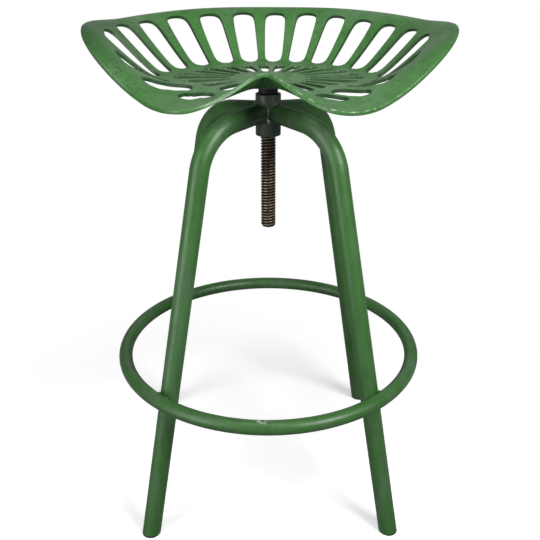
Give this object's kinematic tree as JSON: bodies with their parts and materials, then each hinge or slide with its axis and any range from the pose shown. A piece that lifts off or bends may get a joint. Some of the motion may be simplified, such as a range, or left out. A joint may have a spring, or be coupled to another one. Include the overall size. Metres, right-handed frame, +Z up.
{
  "type": "tractor seat stool",
  "caption": "Height-adjustable stool: slotted curved metal tractor seat on a threaded spindle, bent tube legs and a round foot ring.",
  "frame": {"origin": "on the floor, on the spindle's axis, midway between the feet", "axes": "+Z up along the spindle, +Y towards the back of the seat, +X to the right of someone facing the front of the seat from -Y"},
  "size_m": [0.4736, 0.4368, 0.6625],
  "materials": {
    "seat_paint": "satin green enamel, rubbed lighter on edges and darker round the slots",
    "frame_paint": "satin green enamel",
    "hub_paint": "satin green enamel with a dark glaze",
    "spindle_steel": "bare steel, browned and oiled",
    "screw_steel": "zinc plated",
    "buffer_rubber": "matt black",
    "plug_plastic": "matt dark grey"
  },
  "bodies": {
    "base": {"hub": "hub_paint", "foot_ring": "frame_paint", "leg_back_right": "frame_paint", "leg_back_left": "frame_paint", "leg_front_left": "frame_paint", "leg_front_right": "frame_paint", "foot_plug_back_right": "plug_plastic", "foot_plug_back_left": "plug_plastic", "foot_plug_front_left": "plug_plastic", "foot_plug_front_right": "plug_plastic"},
    "lift": {"buffer_ring": "buffer_rubber"},
    "seat": {"seat_pan": "seat_paint", "mount_plate": "hub_paint", "spindle": "spindle_steel", "seat_screw_front_right": "screw_steel", "seat_screw_back_right": "screw_steel", "seat_screw_back_left": "screw_steel", "seat_screw_front_left": "screw_steel"}
  },
  "joints": [
    {"name": "seat_lift", "type": "slide", "parent": "base", "child": "lift", "axis": [0, 0, 1], "range_m": [0, 0.109]},
    {"name": "seat_turn", "type": "hinge", "parent": "lift", "child": "seat", "pos_m": [0, 0, 0.575], "axis": [0, 0, 1], "range_deg": [0, 9810]}
  ],
  "couplings": [
    {"joint": "seat_lift", "follows": "seat_turn", "m_per_rad": 0.00063662}
  ]
}
